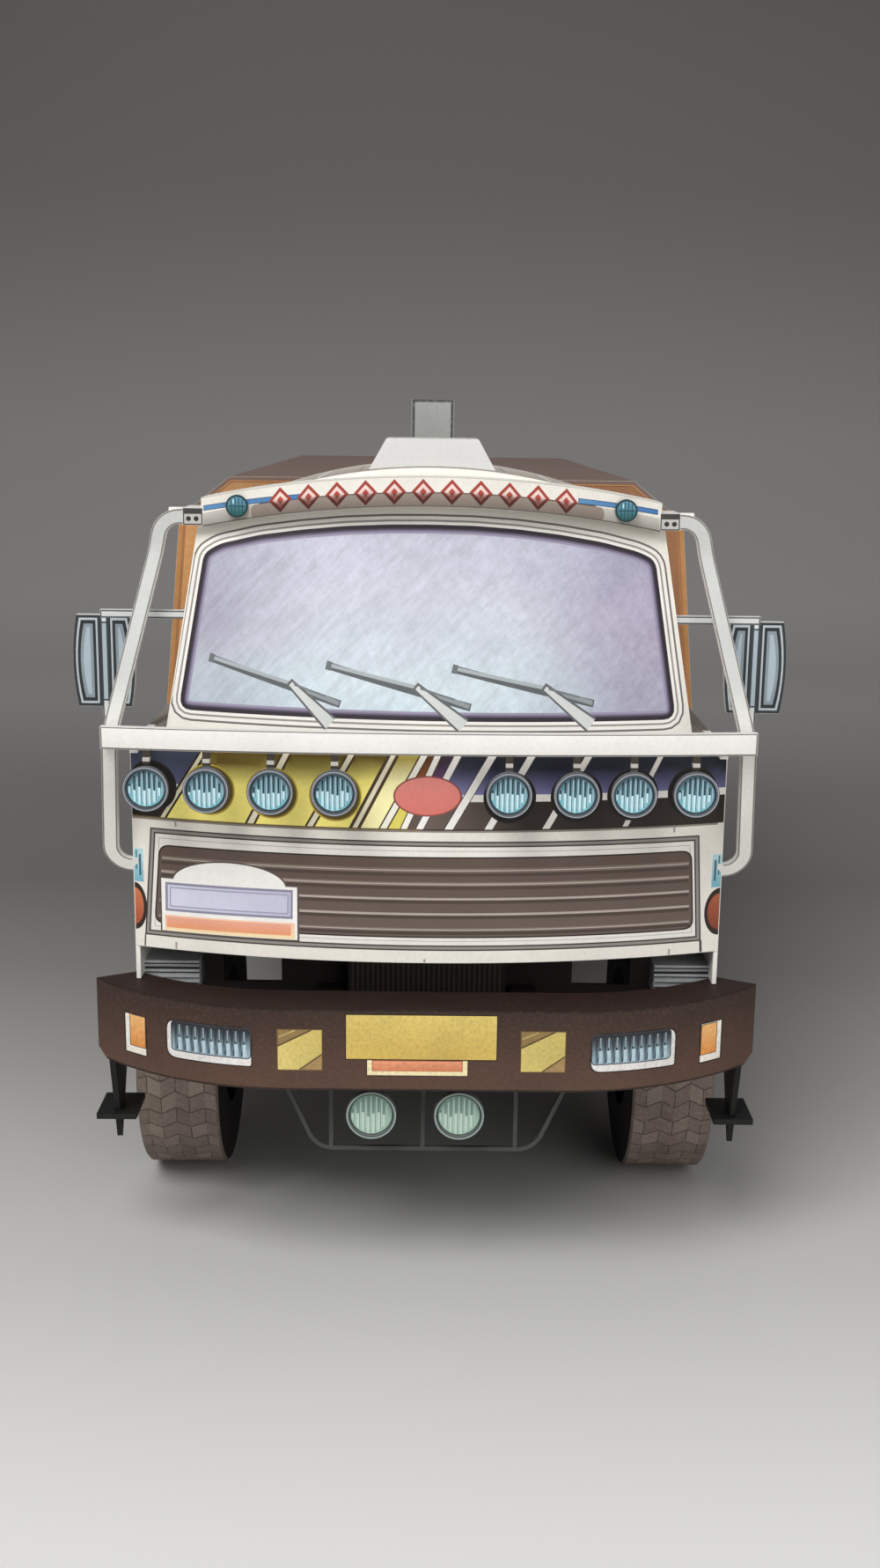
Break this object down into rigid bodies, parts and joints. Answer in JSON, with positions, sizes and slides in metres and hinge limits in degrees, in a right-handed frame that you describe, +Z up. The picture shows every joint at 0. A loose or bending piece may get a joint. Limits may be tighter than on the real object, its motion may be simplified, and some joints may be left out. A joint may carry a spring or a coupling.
{
  "type": "printed-card scale model of a decorated truck with a covered load body",
  "caption": "Cab-over truck model folded from printed card, with tube guard and driving lamps, tilt load body and wheels that turn on wire axles.",
  "frame": {"origin": "on the floor under the middle of the model's overall box, on the centreline", "axes": "+Z up; the truck drives towards -Y, so +Y points to its tail; +X is the side on the right of a viewer who faces the front"},
  "size_m": [0.085, 0.1881, 0.1061],
  "materials": {
    "frame_card": "printed dark brown card, matt",
    "radiator_card": "printed near-black card with fine ribs",
    "engine_card": "plain grey card",
    "tank_card": "printed light grey card",
    "box_card": "printed dark card",
    "wire": "drawn steel wire",
    "bumper_card": "printed dark brown card, speckled",
    "black_card": "black card, matt",
    "lamp_card": "rolled card with printed ribbed lens",
    "lamp_board_card": "printed card with red and amber lamp fields",
    "front_card": "off-white printed card with coloured stripes",
    "screen_card": "printed lilac screen on off-white card",
    "cab_card": "off-white printed card",
    "floor_card": "dark card",
    "step_card": "ridged grey card",
    "visor_card": "off-white printed card with a blue line",
    "grey_card": "printed grey card with dark outlines",
    "guard_card": "white laminated card with cut edges",
    "mirror_card": "printed pale blue-grey card with dark outlines",
    "bed_card": "printed timber-brown card",
    "tilt_card": "printed orange-tan card",
    "tilt_roof_card": "printed grey-brown card",
    "tread_card": "printed grey-brown block tread",
    "rim_card": "printed light grey wheel face"
  },
  "bodies": {
    "root": {"frame_rails": "frame_card", "crossmembers": "frame_card", "bed_runners": "frame_card", "front_panel": "frame_card", "radiator": "radiator_card", "engine_block": "engine_card", "propeller_shaft": "frame_card", "fuel_tank": "tank_card", "tool_box": "box_card", "rear_underrun": "frame_card", "lamp_boards": "lamp_board_card", "tow_coupling": "frame_card", "leaf_springs": "frame_card", "front_axle_tube": "frame_card", "rear_axle_tube": "frame_card", "axle_rods": "wire", "bumper": "bumper_card", "bumper_steps": "black_card", "fog_guard": "black_card", "fog_lamps": "lamp_card", "cab_front": "front_card", "windscreen_panel": "screen_card", "cab_roof": "cab_card", "cab_back": "cab_card", "cab_floor": "floor_card", "cab_side_right": "cab_card", "cab_side_left": "cab_card", "wheel_arches": "black_card", "cab_steps": "step_card", "visor": "visor_card", "visor_lamps": "lamp_card", "roof_hatch": "cab_card", "intake_stack": "grey_card", "guard_bar": "guard_card", "guard_loop_right": "guard_card", "guard_loop_left": "guard_card", "guard_brackets": "guard_card", "driving_lamps": "lamp_card", "mirror_right": "mirror_card", "mirror_left": "mirror_card", "bed_floor": "bed_card", "bed_bearers": "frame_card", "drop_side_right": "bed_card", "drop_side_left": "bed_card", "headboard": "bed_card", "tailgate": "bed_card", "tilt_roof": "tilt_roof_card", "tilt_side_right": "tilt_card", "tilt_side_left": "tilt_card", "tilt_front": "tilt_card", "tilt_rear": "tilt_card", "mudguards": "black_card"},
    "front_wheel_body_right": {"front_tyre_right": "tread_card", "front_wheel_right": "rim_card"},
    "rear_wheel_body_right": {"rear_tyres_right": "tread_card", "rear_wheel_right": "rim_card"},
    "front_wheel_body_left": {"front_tyre_left": "tread_card", "front_wheel_left": "rim_card"},
    "rear_wheel_body_left": {"rear_tyres_left": "tread_card", "rear_wheel_left": "rim_card"}
  },
  "joints": [
    {"name": "front_wheel_right_spin", "type": "hinge", "parent": "root", "child": "front_wheel_body_right", "pos_m": [0.03285, -0.0522, 0.018], "axis": [1, 0, 0], "continuous": true},
    {"name": "rear_wheel_right_spin", "type": "hinge", "parent": "root", "child": "rear_wheel_body_right", "pos_m": [0.0286, 0.0498, 0.018], "axis": [1, 0, 0], "continuous": true},
    {"name": "front_wheel_left_spin", "type": "hinge", "parent": "root", "child": "front_wheel_body_left", "pos_m": [-0.03285, -0.0522, 0.018], "axis": [1, 0, 0], "continuous": true},
    {"name": "rear_wheel_left_spin", "type": "hinge", "parent": "root", "child": "rear_wheel_body_left", "pos_m": [-0.0286, 0.0498, 0.018], "axis": [1, 0, 0], "continuous": true}
  ]
}
